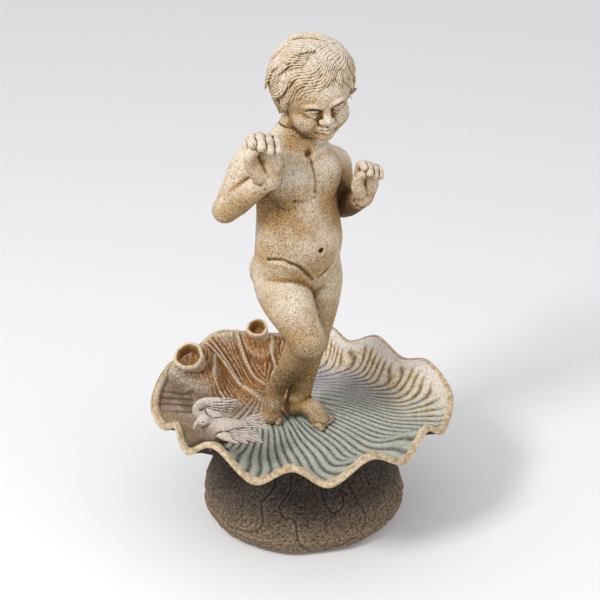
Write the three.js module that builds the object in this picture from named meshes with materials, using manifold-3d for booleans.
// Cherub bird bath, a garden statue of cast stone in four castings: a rockwork
// base, a scallop-shell basin, a standing child and a dove on the basin's rim.
//
// Millimetres, +Z up, front towards -Y.  The origin is the middle of the flat
// underside that the statue stands on.

import * as THREE from 'three';
import { mergeVertices } from 'three/addons/utils/BufferGeometryUtils.js';
import Module from 'manifold-3d';

const wasm = await Module();
wasm.setup();

// ---- driving dimensions ----------------------------------------------------

const GAP = 0.3;                 // left between castings that touch

const BASE_RADIUS = 157;         // widest, just above the ground
const BASE_NECK = 104;           // under the basin
const BASE_TOP = 126;

const FLOOR_TOP = 151;           // the basin's floor under the child
const FLOOR_BOTTOM = BASE_TOP + GAP;
const WALL = 11;                 // the basin's wall
const RIB_COUNT = 28;            // flutes that fan out from the child's feet
const FLUTES_FROM = -118;        // bearings, in degrees, between which the basin is fluted
const FLUTES_TO = 97;
const PLAIN_SPOKES = 15;
const RIB_DEPTH = 3.2;
const MIDDLE = new THREE.Vector2(-12, 4);   // of the dish
const FAN = new THREE.Vector2(-58, 90);     // where the flutes start

const BODY_TURN = 33;            // degrees that the body turns to the child's left
const HEAD_TURN = 19;
const HEAD_NOD = 11;
const HEAD_TILT = 7;

// ---- small helpers ---------------------------------------------------------

const { PI, sin, cos, abs, min, max, hypot, atan2 } = Math;
const rad = THREE.MathUtils.degToRad;
const mix = THREE.MathUtils.lerp;
const V = (x, y, z) => new THREE.Vector3(x, y, z);
const way = (x, y, z) => V(x, y, z).normalize();
const up = V(0, 0, 1);
const between = (a, b, t) => a.clone().lerp(b, t);
const smooth = (lo, hi, x) => THREE.MathUtils.smoothstep(x, lo, hi);

/** A list of numbers read at t from 0 to 1, evenly spaced and joined by straight lines. */
function along(list, t) {
  const x = t * (list.length - 1);
  const i = max(0, min(Math.floor(x), list.length - 2));
  return mix(list[i], list[min(i + 1, list.length - 1)], x - i);
}

/** A closed three.js geometry as a manifold solid. */
function solid(geometry) {
  const bare = geometry.index ? geometry.toNonIndexed() : geometry.clone();
  bare.deleteAttribute('normal');
  bare.deleteAttribute('uv');
  const merged = mergeVertices(bare, 1e-4);
  const mesh = new wasm.Mesh({
    numProp: 3,
    vertProperties: Float32Array.from(merged.attributes.position.array),
    triVerts: Uint32Array.from(dropFlat(merged)),
  });
  return new wasm.Manifold(mesh);
}

/** The triangles of a merged geometry that still have three different corners. */
function dropFlat(geometry) {
  const index = geometry.index.array;
  const kept = [];
  for (let i = 0; i < index.length; i += 3) {
    const [a, b, c] = [index[i], index[i + 1], index[i + 2]];
    if (a !== b && b !== c && c !== a) kept.push(a, b, c);
  }
  return kept;
}

/** The largest of the separate surfaces of a solid, without slivers or shut-in pockets. */
const largest = (whole) => whole.decompose().reduce((a, b) => (b.volume() > a.volume() ? b : a));

/** All solids joined into one. */
const join = (solids) => largest(solids.reduce((sum, piece) => sum.add(piece)));

/** A manifold solid as a named, coloured mesh. */
function casting(name, shape, colour) {
  const { vertProperties, triVerts } = shape.getMesh();
  const geometry = new THREE.BufferGeometry();
  geometry.setAttribute('position', new THREE.BufferAttribute(vertProperties, 3));
  geometry.setIndex(new THREE.BufferAttribute(triVerts, 1));
  geometry.computeVertexNormals();
  const material = new THREE.MeshStandardMaterial({ color: colour, roughness: 0.85, metalness: 0 });
  const mesh = new THREE.Mesh(geometry, material);
  mesh.name = name;
  return mesh;
}

/** Three axes as a frame: side, front and up, with `at(a, b, c)` a place in it. */
function frame(origin, side, front, up) {
  return {
    origin, side, front, up,
    at: (a, b, c) => origin.clone().addScaledVector(side, a).addScaledVector(front, b).addScaledVector(up, c),
  };
}

/** An egg: a sphere with its own radii along a frame's axes. */
function egg(place, centre, radii, around = 12, rows = 8) {
  const geometry = new THREE.SphereGeometry(1, around, rows);
  geometry.rotateX(PI / 2);
  const basis = new THREE.Matrix4().makeBasis(
    place.side.clone().multiplyScalar(radii[0]),
    place.front.clone().multiplyScalar(-radii[1]),
    place.up.clone().multiplyScalar(radii[2]),
  );
  geometry.applyMatrix4(basis.setPosition(place.at(...centre)));
  return solid(geometry);
}

/**
 * A limb: the rows of a sphere carried along a smooth curve.  `width` is the
 * half-width across the curve at even steps, `facing` the way that its broad side
 * faces, and `flat` its thickness as a share of its width.  The ends are round, or
 * blunt points on a small piece.
 */
function limb(points, width, options) {
  const { sides, rows, facing = null, flat = 1, round = 1, small = false } = options;
  const path = new THREE.CatmullRomCurve3(points);
  const start = path.getTangentAt(0);
  let across = abs(start.y) < 0.8 ? V(0, 1, 0).cross(start) : V(1, 0, 0);
  const ends = small ? [[-0.6, 0]] : [[-1, 0], [-0.7, 0.7]];
  const stations = [
    ...ends.map(([push, share]) => ({ t: 0, push: push * round, share })),
    ...Array.from({ length: rows }, (_, i) => ({ t: i / (rows - 1), push: 0, share: 1 })),
    ...ends.toReversed().map(([push, share]) => ({ t: 1, push: -push * round, share })),
  ];
  const geometry = new THREE.SphereGeometry(1, sides, stations.length - 1);
  const position = geometry.attributes.position;
  stations.forEach(({ t, push, share }, row) => {
    const tangent = path.getTangentAt(t);
    if (facing) across = facing.clone().cross(tangent);
    across.addScaledVector(tangent, -across.dot(tangent)).normalize();
    const deep = tangent.clone().cross(across);
    const half = along(width, t);
    const thick = half * (Array.isArray(flat) ? along(flat, t) : flat);
    const centre = path.getPointAt(t).addScaledVector(tangent, push * min(half, thick));
    for (let i = 0; i <= sides; i++) {
      const turn = (i % sides) / sides * 2 * PI;
      const p = centre.clone()
        .addScaledVector(across, -cos(turn) * half * share)
        .addScaledVector(deep, sin(turn) * thick * share);
      position.setXYZ(row * (sides + 1) + i, p.x, p.y, p.z);
    }
  });
  return solid(geometry);
}

// ---- the rockwork base -----------------------------------------------------

/** Rock relief at a bearing and a height: upright root-like ridges that wander as they rise. */
function rock(turn, rise) {
  const wander = turn + 0.22 * sin(3 * turn + 5 * rise) + 0.25 * rise;
  const ridges = 2.6 * sin(9 * wander) + 1.6 * sin(5 * wander + 2) + 1.4 * sin(17 * wander + 1);
  return ridges * sin(PI * min(1, 0.15 + rise * 0.9));
}

function rockworkBase() {
  const rows = 6;
  const profile = [[0, 0], [BASE_RADIUS - 22, 0]];
  for (let i = 0; i <= rows; i++) {
    const rise = i / rows;
    const height = mix(9, BASE_TOP - 3, rise);
    const bulge = BASE_RADIUS - (BASE_RADIUS - BASE_NECK) * rise ** 1.8;
    profile.push([bulge - 11 * (1 - min(1, i)), height]);
  }
  profile.push([BASE_NECK - 8, BASE_TOP], [0, BASE_TOP]);
  const segments = 36;
  const geometry = new THREE.LatheGeometry(profile.map(([r, z]) => new THREE.Vector2(r, z)), segments);
  geometry.rotateX(PI / 2);
  const position = geometry.attributes.position;
  for (let i = 0; i < position.count; i++) {
    const [x, y, z] = [position.getX(i), position.getY(i), position.getZ(i)];
    const reach = hypot(x, y);
    if (z < 1 || z > BASE_TOP - 1 || reach < 1) continue;
    const grown = (reach + rock(atan2(y, x), z / BASE_TOP)) / reach;
    position.setXY(i, x * grown, y * grown);
  }
  return solid(geometry);
}

// ---- the scallop basin -----------------------------------------------------

// Lobes of the basin's edge, anticlockwise: bearing in degrees, reach and height.
const EDGE = [
  [-176, 228, 190], [-164, 219, 178], [-152, 213, 203], [-141, 218, 181], [-127, 213, 211],
  [-109, 219, 175], [-94, 219, 203], [-80, 219, 175], [-64, 220, 210], [-48, 219, 181],
  [-34, 217, 209], [-19, 221, 178], [3, 226, 190], [27, 221, 195], [40, 206, 184],
  [57, 219, 195], [68, 203, 184], [79, 222, 194], [97, 206, 190], [112, 196, 201],
  [129, 217, 209], [146, 212, 200], [160, 229, 192],
];

const edgeCurve = new THREE.CatmullRomCurve3(
  EDGE.map(([bearing, reach, height]) => V(reach * cos(rad(bearing)), reach * sin(rad(bearing)), height)),
  true,
);
const EDGE_SAMPLES = 720;
const edgePoints = edgeCurve.getPoints(EDGE_SAMPLES).slice(0, EDGE_SAMPLES);

/** The edge point that lies in the direction `turn` from a place. */
function edgeAt(turn, from) {
  const away = (p) => {
    const off = atan2(p.y - from.y, p.x - from.x) - turn;
    return abs(atan2(sin(off), cos(off)));
  };
  return edgePoints.reduce((best, p) => (away(p) < away(best) ? p : best));
}

/** Heights of the dish at a place, inside and underneath, by its share of the way from middle to edge. */
function dishAt(x, y) {
  const edge = edgeAt(atan2(y - MIDDLE.y, x - MIDDLE.x), MIDDLE);
  const share = hypot(x - MIDDLE.x, y - MIDDLE.y) / hypot(edge.x - MIDDLE.x, edge.y - MIDDLE.y);
  return {
    inside: mix(FLOOR_TOP, edge.z - 1, 0.1 * share + 0.9 * smooth(0.55, 1.04, share) ** 1.2),
    under: mix(FLOOR_BOTTOM, edge.z - WALL, smooth(0.5, 1, share) ** 1.1),
  };
}

/** Bearings of the spokes: two to a flute, and few behind the driftwood, where there are no flutes. */
function spokes() {
  const fluted = Array.from({ length: 2 * RIB_COUNT }, (_, i) => ({
    turn: mix(FLUTES_FROM, FLUTES_TO, i / (2 * RIB_COUNT)), ridge: i % 2 ? 1 : -1,
  }));
  const plain = Array.from({ length: PLAIN_SPOKES }, (_, i) => ({
    turn: mix(FLUTES_TO, FLUTES_FROM + 360, i / PLAIN_SPOKES), ridge: 0,
  }));
  return [...fluted, ...plain];
}

/** The fluted bowl; `swell` grows it upwards, to cut what stands on it with a gap. */
function scallopBasin(swell = 0) {
  // [out, side] of each ring: -1 underneath, 0 on the rim, 1 inside
  const rings = [[0, -1], [0.46, -1], [0.74, -1], [0.98, -1], [1, 0],
    [0.985, 1], [0.92, 1], [0.8, 1], [0.62, 1], [0.32, 1], [0, 1]];
  const all = spokes();
  const profile = rings.map(([out], i) => new THREE.Vector2(out, i));
  const geometry = new THREE.LatheGeometry(profile, all.length);
  const position = geometry.attributes.position;
  for (let i = 0; i <= all.length; i++) {
    const { turn, ridge } = all[i % all.length];
    const edge = edgeAt(rad(turn), FAN);
    rings.forEach(([out, side], row) => {
      const flute = 0.5 * RIB_DEPTH * ridge * smooth(0.1, 0.35, out);
      const [x, y] = [mix(FAN.x, edge.x, out), mix(FAN.y, edge.y, out)];
      const dish = dishAt(x, y);
      let z = edge.z - 4 + flute;
      if (side > 0) z = dish.inside + flute + swell;
      if (side < 0) z = dish.under + (dish.under > FLOOR_BOTTOM + 4 ? 0.4 * flute : 0);
      position.setXYZ(i * rings.length + row, x, y, z);
    });
  }
  return solid(geometry);
}

// Driftwood at the back left of the basin: folds that rise from the child's foot to
// the edge, and two hollow stubs of branches.
const FOLD_START = V(-66, 40, FLOOR_TOP + 2);
const FOLDS = [
  { middle: V(-136, 22, 156), end: V(-212, 14, 182), widths: [5, 13, 12] },
  { middle: V(-120, 56, 164), end: V(-165, 76, 186), widths: [6, 13, 22] },
  { middle: V(-112, 100, 171), end: V(-152, 146, 199), widths: [5, 8, 11] },
  { middle: V(-86, 118, 174), end: V(-102, 172, 200), widths: [5, 8, 10] },
  { middle: V(-68, 104, 163), end: V(-70, 158, 186), widths: [5, 8, 16] },
];
const STUBS = [
  { foot: V(-169, 105, 179), mouth: V(-175, 84, 210), radius: 23, bore: 16.5 },
  { foot: V(-70, 180, 189), mouth: V(-72, 166, 216), radius: 17, bore: 12 },
];

function driftwood() {
  return FOLDS.map(({ middle, end, widths }) => limb([FOLD_START, middle, end], widths, {
    sides: 6, rows: 4, facing: up, flat: [0.8, 0.8, 0.9], small: true,
  }));
}

function stub({ foot, mouth, radius }) {
  const widths = [0.95, 0.9, 1].map((share) => share * radius);
  return limb([foot, between(foot, mouth, 0.5), mouth], widths, { sides: 10, rows: 3, round: 0.3 });
}

function stubHole({ foot, mouth, bore }) {
  const top = mouth.clone().add(mouth.clone().sub(foot).setLength(20));
  const bottom = between(foot, mouth, 0.35);
  const widths = [0.8, 1, 1.1].map((share) => share * bore);
  return limb([bottom, between(bottom, top, 0.5), top], widths, { sides: 8, rows: 3, round: 0.5 });
}

function basin() {
  const whole = join([scallopBasin(), ...driftwood(), ...STUBS.map(stub)]);
  return STUBS.map(stubHole).reduce((shape, hole) => shape.subtract(hole), whole);
}

// ---- the child -------------------------------------------------------------

const bodyTurn = rad(BODY_TURN);
const body = frame(V(-9, 0, 0), V(cos(bodyTurn), sin(bodyTurn), 0), V(sin(bodyTurn), -cos(bodyTurn), 0), up);

// Joints of the figure.  The child stands on the left leg, with the right leg
// crossed in front of it on tiptoe, and holds both hands up.
const HIP_R = body.at(-33, 2, 391);
const HIP_L = body.at(34, 0, 397);
const KNEE_R = V(7, -66, 318);
const ANKLE_R = V(-40, -8, 208);
const TOE_R = V(-48, -14, 162);
const KNEE_L = V(12, 8, 284);
const ANKLE_L = V(-6, 2, 188);
const HEEL_L = V(-12, 7, 168);
const BALL_L = V(28, -27, 162);
const SHOULDER_R = V(-71, -34, 578);
const ELBOW_R = V(-112, -42, 512);
const WRIST_R = V(-49, -80, 574);
const SHOULDER_L = V(43, 37, 548);
const ELBOW_L = V(58, 50, 478);
const WRIST_L = V(84, -14, 517);

function torso() {
  // up the spine: place in front of the axis, half-width, half-depth
  const stations = [
    [370, -4, 46, 36], [392, -3, 63, 46], [415, 1, 67, 49], [440, 5, 66, 51], [468, 6, 65, 50],
    [498, 3, 62, 47], [528, 1, 62, 46], [556, 0, 62, 43], [580, -2, 54, 36], [598, -3, 38, 30],
    [618, -4, 28, 27],
  ];
  const spine = stations.map(([height, front]) => body.at(-1, front, height));
  const widths = stations.map((s) => s[2]);
  const flat = stations.map((s) => s[3] / s[2]);
  return limb(spine, widths, { sides: 12, rows: 10, facing: body.front, flat, round: 0.35 });
}

function trunk() {
  const parts = [torso()];
  for (const side of [-1, 1]) {
    parts.push(egg(body, [side * 27, -24, 398], [34, 31, 35], 10, 6));      // buttock
  }
  const shoulders = [SHOULDER_R, body.at(0, -4, 588), SHOULDER_L];
  const neck = [body.at(2, -4, 600), body.at(6, -2, 622), V(6, -4, 650)];
  parts.push(limb(shoulders, [24, 27, 20], { sides: 9, rows: 4 }));
  parts.push(limb(neck, [28, 27, 27], { sides: 12, rows: 3, small: true }));
  return parts;
}

function leg(hip, knee, ankle, thighBow, calfBow, widths) {
  const thigh = [hip, between(hip, knee, 0.5).add(thighBow), knee];
  const shin = [knee, between(knee, ankle, 0.38).add(calfBow), ankle];
  return [
    limb(thigh, widths.thigh, { sides: 10, rows: 4, small: true }),
    limb(shin, widths.shin, { sides: 9, rows: 4, small: true }),
  ];
}

/** Toes side by side across the end of a foot, the first the thickest. */
function toes(start, across, ahead, length, radius) {
  return [1, 0.8, 0.78, 0.74, 0.7].map((size, i) => {
    const root = start.clone().addScaledVector(across, radius * (1.45 * i + (i ? 0.3 : 0)));
    const tip = root.clone().addScaledVector(ahead, length * size);
    return limb([root, tip], [radius * size], { sides: 4, rows: 2, small: true });
  });
}

function legs() {
  const right = leg(HIP_R, KNEE_R, ANKLE_R, V(-2, -4, 4), V(2, 6, 0), {
    thigh: [36, 37, 35, 31, 27, 25], shin: [23, 22, 20, 16, 13.5],
  });
  const left = leg(HIP_L, KNEE_L, ANKLE_L, V(4, 2, 4), V(0, 5, 0), {
    thigh: [36, 37, 34, 31, 28, 24], shin: [23, 22, 21, 18, 16],
  });
  const sole = between(ANKLE_R, TOE_R, 0.5).add(V(0, -2, 0));
  const tiptoe = limb([ANKLE_R, sole, TOE_R], [14, 14, 11], { sides: 9, rows: 3 });
  const heel = limb([ANKLE_L, HEEL_L], [16, 15], { sides: 9, rows: 2 });
  const instep = between(ANKLE_L, BALL_L, 0.55).add(V(0, 0, 3));
  const foot = limb([HEEL_L.clone().add(V(2, -2, 2)), instep, BALL_L], [13, 16, 16], {
    sides: 9, rows: 4, facing: up, flat: [1, 0.95, 0.66],
  });
  const ahead = BALL_L.clone().sub(HEEL_L).setZ(0).normalize();
  const across = V(-ahead.y, ahead.x, 0);
  const bigToe = BALL_L.clone().addScaledVector(across, -12).add(V(0, 0, -2));
  const leftToes = toes(bigToe, across, ahead, 19, 4.8);
  return [...right, ...left, tiptoe, heel, foot, ...leftToes];
}

function arm(shoulder, elbow, wrist, size) {
  const scale = (list) => list.map((r) => r * size);
  const upper = [shoulder, between(shoulder, elbow, 0.5), elbow];
  const lower = [elbow, between(elbow, wrist, 0.5), wrist];
  return [
    limb(upper, scale([27, 25, 23, 20, 18]), { sides: 8, rows: 3, round: 0.8 }),
    limb(lower, scale([18, 19, 17, 14, 12.5]), { sides: 8, rows: 3, small: true }),
  ];
}

/**
 * A raised hand.  `reach` runs from the wrist to the knuckles, `palm` is the way the
 * palm faces and `thumb` the thumb's side.  Each finger bends forward by its own curl.
 */
function hand(wrist, reach, palm, thumb, curls, size) {
  const k = (v) => v * size;
  const place = frame(wrist, thumb, palm, reach);
  const at = (t, n, r) => place.at(k(t), k(n), k(r));
  const parts = [limb([at(0, 0, -2), at(0, 1, 14), at(-1, 0, 28)], [k(12), k(17), k(17)], {
    sides: 7, rows: 3, facing: palm, flat: [0.9, 0.66, 0.55],
  })];
  curls.forEach((curl, finger) => {
    const root = at(12 - 8.5 * finger, -1, 28 - abs(finger - 1.2));
    const length = k([17, 18.5, 17, 14][finger]);
    const bend = (share) => V(0, 0, 0)
      .addScaledVector(reach, cos(curl * share))
      .addScaledVector(palm, sin(curl * share));
    const knuckle = root.clone().addScaledVector(bend(0.25), length);
    const joint = knuckle.clone().addScaledVector(bend(0.9), length * 0.75);
    const tip = joint.clone().addScaledVector(bend(1.5), length * 0.55);
    const widths = [6, 5.8, 5.2, 4.4].map(k);
    parts.push(limb([root, knuckle, joint, tip], widths, { sides: 4, rows: 4, facing: thumb, small: true }));
  });
  const thumbLine = [at(8, 4, 6), at(17, 8, 17), at(19, 13, 28), at(15, 18, 38)];
  parts.push(limb(thumbLine, [9, 8, 6, 5].map(k), { sides: 5, rows: 3, facing: palm, small: true }));
  return parts;
}

function armsAndHands() {
  const right = [way(-0.1, 0.12, 0.98), way(0.1, -0.98, 0.14), way(0.98, 0.1, 0.1)];
  const left = [way(0.12, 0.1, 0.98), way(0.35, -0.93, 0.05), way(-0.92, -0.35, 0.1)];
  return [
    ...arm(SHOULDER_R, ELBOW_R, WRIST_R, 1),
    ...arm(SHOULDER_L, ELBOW_L, WRIST_L, 0.92),
    ...hand(WRIST_R, ...right, [1.35, 1.1, 1.3, 1.5], 1.12),
    ...hand(WRIST_L, ...left, [0.9, 1.5, 1.3, 1.1], 0.95),
  ];
}

// ---- the child's head ------------------------------------------------------

/** The head's own axes: turned, then nodded forward, then tilted towards a shoulder. */
function headFrame() {
  const turned = new THREE.Matrix4().makeRotationZ(rad(HEAD_TURN));
  const nodded = new THREE.Matrix4().makeRotationX(rad(HEAD_NOD));
  const tilted = new THREE.Matrix4().makeRotationY(rad(-HEAD_TILT));
  const pose = turned.multiply(nodded).multiply(tilted);
  const axis = (x, y, z) => V(x, y, z).applyMatrix4(pose);
  return frame(V(14, -6, 676), axis(1, 0, 0), axis(0, -1, 0), axis(0, 0, 1));
}
const head = headFrame();

function lip(line, width) {
  return limb(line, [1.5, width, 1.5], { sides: 4, rows: 3, facing: head.up, small: true });
}

function face() {
  const nose = [head.at(0, 48, 8), head.at(0, 54, -7), head.at(0, 59, -16)];
  const parts = [
    egg(head, [0, 0, 4], [44, 46, 48], 10, 6),         // skull
    egg(head, [0, 14, 12], [44, 43, 36], 12, 6),       // forehead
    egg(head, [0, 17, -20], [40, 33, 34], 12, 7),      // middle of the face
    egg(head, [0, 24, -40], [27, 25, 18], 9, 5),       // jaw
    egg(head, [0, 43, -46], [11, 9, 9], 7, 5),          // chin
    egg(head, [0, 49, -31], [13, 7, 7], 7, 5),          // mouth
    limb(nose, [4.5, 5, 6.5], { sides: 6, rows: 3 }),
    lip([head.at(-10, 50, -31), head.at(0, 55.5, -29.5), head.at(10, 50, -31)], 2.7),
    lip([head.at(-8, 50, -34.5), head.at(0, 55, -36), head.at(8, 50, -34.5)], 3),
  ];
  for (const side of [-1, 1]) {
    parts.push(egg(head, [side * 21, 32, -25], [16, 14, 15], 8, 6));      // cheek
    parts.push(egg(head, [side * 47, -4, -10], [7, 11, 15], 7, 5));        // ear
    parts.push(egg(head, [side * 18, 45, -3], [10, 8.5, 6.5], 7, 5));      // eye
  }
  return parts;
}

// Hair grows from a parting on the child's left and is combed over the head in
// thick locks, down to the brows in front and below the ears at the sides.
const SCALP = { centre: [0, -9, 15], radii: [54, 58, 52] };
const PARTING = way(0.64, 0.03, 0.77);

/** Where the hair ends towards `turn` round the head: 0 is the forehead, positive is the child's left. */
function hairEnd(turn) {
  const height = mix(-0.6, 0.07, smooth(0.6, 0.88, 0.5 + 0.5 * cos(turn)));
  const level = Math.sqrt(1 - height ** 2);
  return V(level * sin(turn), level * cos(turn), height);
}

/** A place on the scalp, a share of the way from the parting to an end, `lift` off the scalp. */
function scalpAt(end, share, lift) {
  const angle = PARTING.angleTo(end);
  const direction = PARTING.clone().multiplyScalar(sin((1 - share) * angle) / sin(angle))
    .addScaledVector(end, sin(share * angle) / sin(angle));
  const [a, b, c] = direction.toArray().map((v, i) => SCALP.centre[i] + v * (SCALP.radii[i] + lift));
  return head.at(a, b, c);
}

/** A lock between two shares of the way down, that swings by `sweep` and ends lifted by `flick`. */
function lock(turn, from, to, width, sweep, flick) {
  const points = [0, 0.35, 0.7, 1].map((t) => {
    const end = hairEnd(turn + sweep * t * t + 0.1 * sin(2 * PI * t + 5 * turn));
    return scalpAt(end, mix(from, to, t), 1 + flick * t ** 3);
  });
  const middle = mix(from, to, 0.5);
  const out = scalpAt(hairEnd(turn), middle, 40).sub(scalpAt(hairEnd(turn), middle, 0)).normalize();
  const widths = [0.7, 1, 0.9, 0.25].map((share) => share * width);
  return limb(points, widths, { sides: 4, rows: 3, facing: out, flat: 0.62, small: true });
}

function hair() {
  const cap = egg(head, SCALP.centre, SCALP.radii, 12, 8);
  const faceOpening = egg(head, [2, 52, -26], [44, 46, 40], 10, 6);
  const parts = [cap.subtract(faceOpening)];
  const count = 8;
  for (let i = 0; i < count; i++) {
    const turn = (i / count) * 2 * PI;
    const loose = mix(20, 6, 0.5 + 0.5 * cos(turn + 0.3));     // the sides flick out more than the fringe
    parts.push(lock(turn, 0.08, 0.62, 19, -0.25, 3));
    parts.push(lock(turn + 0.3, 0.5, 1.02, 17, -0.2, loose));
  }
  return parts;
}

function child() {
  const whole = join([...trunk(), ...legs(), ...armsAndHands(), ...face(), ...hair()]);
  const navel = egg(body, [4, 60, 455], [3.2, 5, 3.2], 6, 4);
  return whole.subtract(navel).subtract(scallopBasin(GAP));
}

// ---- the dove --------------------------------------------------------------

// It stands on the edge at the front left, head down to the left and tail to the
// child, with its near wing spread and its far wing lifted.
const doveFront = way(-0.93, -0.33, 0.12);
const doveSide = way(0.33, -0.93, 0);
const dovePlace = frame(V(-112, -141, 216), doveSide, doveFront, doveSide.clone().cross(doveFront).negate());

/** Feathers fanned from one place: flat limbs whose tips run evenly from `first` to `last`. */
function feathers(root, first, last, count, width, facing) {
  return Array.from({ length: count }, (_, i) => {
    const tip = between(first, last, count > 1 ? i / (count - 1) : 0);
    const bend = between(root, tip, 0.55).addScaledVector(facing, 2);
    const widths = [0.8, 1, 0.6].map((share) => share * width);
    return limb([root, bend, tip], widths, { sides: 4, rows: 3, facing, flat: 0.4, small: true });
  });
}

function dove() {
  const { at, side, up: above } = dovePlace;
  const near = side.clone().multiplyScalar(0.35).add(above).normalize();
  const far = side.clone().multiplyScalar(0.9).add(above.clone().multiplyScalar(0.45)).normalize();
  const leaf = (points, widths, facing, flat, rows = 3) => (
    limb(points, widths, { sides: 5, rows, facing, flat, small: true })
  );
  const farWing = [at(-14, 14, 6), at(-26, 34, 19), at(-26, 25, 33), at(-22, 2, 34)];
  return join([
    limb([at(0, 18, -2), at(0, 0, 0), at(0, -26, 3)], [18, 18, 9], { sides: 8, rows: 4 }),     // body
    egg(dovePlace, [0, 12, -10], [16, 16, 18], 9, 6),                                           // breast
    limb([at(0, 20, 4), at(0, 28, 14), at(1, 34, 18)], [12, 9, 10], { sides: 8, rows: 3 }),     // head
    limb([at(1, 41, 16), at(2, 45, 5)], [4.5, 1.5], { sides: 4, rows: 2, small: true }),        // beak
    ...feathers(at(0, -22, 4), at(-14, -56, 11), at(8, -62, 3), 4, 7, above),                   // tail
    leaf([at(12, 14, 0), at(24, -4, -3), at(26, -36, -6)], [9, 15, 10], near, 0.4),             // near wing
    ...feathers(at(16, -4, 1), at(12, -42, 0), at(32, -46, -5), 3, 6.5, near),
    leaf(farWing, [9, 9, 8, 7], far, 0.5, 5),
    ...feathers(at(-24, 24, 31), at(-18, -12, 20), at(-22, -18, 34), 2, 8, far),
    leaf([at(-10, 6, 8), at(-22, 14, 20)], [9, 9], far, 0.5),
  ]);
}

// ---- the statue ------------------------------------------------------------

const statue = new THREE.Group();
statue.add(casting('base', rockworkBase(), 0x5d5344));
statue.add(casting('shell', basin(), 0xa9a58a));
statue.add(casting('child', child(), 0xd6c7a4));
statue.add(casting('dove', largest(dove().subtract(scallopBasin(GAP))), 0xb5aaa0));

export default statue;
